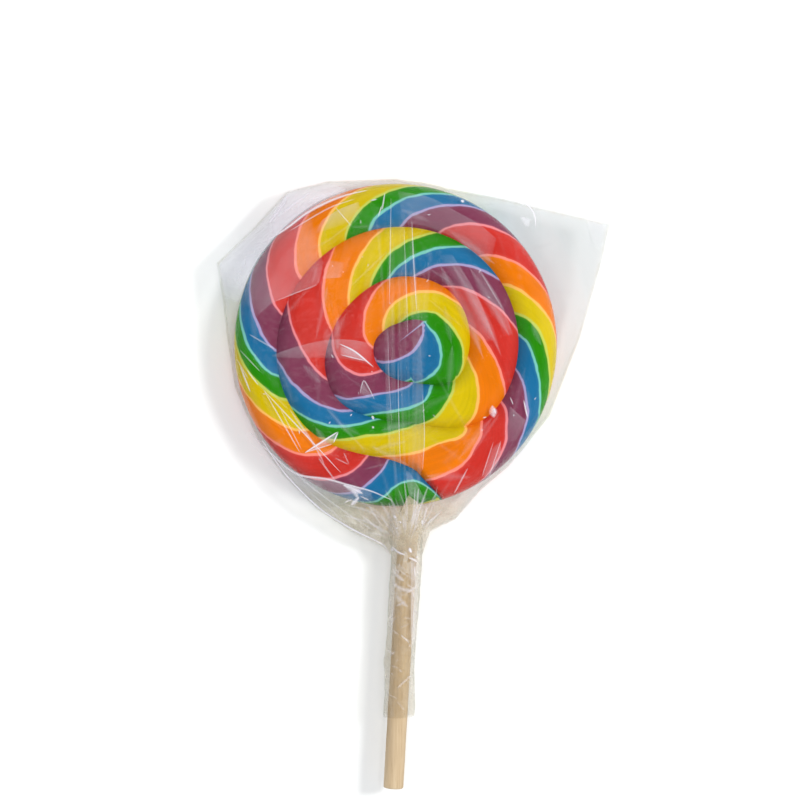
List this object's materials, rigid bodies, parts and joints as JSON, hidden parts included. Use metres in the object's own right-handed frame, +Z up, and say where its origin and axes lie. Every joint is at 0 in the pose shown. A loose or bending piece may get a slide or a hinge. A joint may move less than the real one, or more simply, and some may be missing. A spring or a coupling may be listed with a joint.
{
  "type": "swirl lollipop",
  "caption": "Round flat lollipop: a coiled rainbow-striped sugar rope on a wooden stick, in a clear film bag twisted round the stick; lies on its back.",
  "frame": {"origin": "on the floor under the middle of the candy disc, at the centre of the bag's flat underside", "axes": "+Z up, away from the floor and out of the candy's shown face; -Y along the stick; +X to the right of the shown face"},
  "size_m": [0.0972, 0.1511, 0.0138],
  "materials": {
    "sugar": "glossy boiled sugar in six colours: red, orange, yellow, green, blue and purple stripes with thin white lines between them",
    "wooden_stick": "plain pale wood",
    "clear_film": "clear creased packing film"
  },
  "bodies": {
    "root": {"candy": "sugar", "stick": "wooden_stick", "wrapper": "clear_film"}
  },
  "joints": []
}
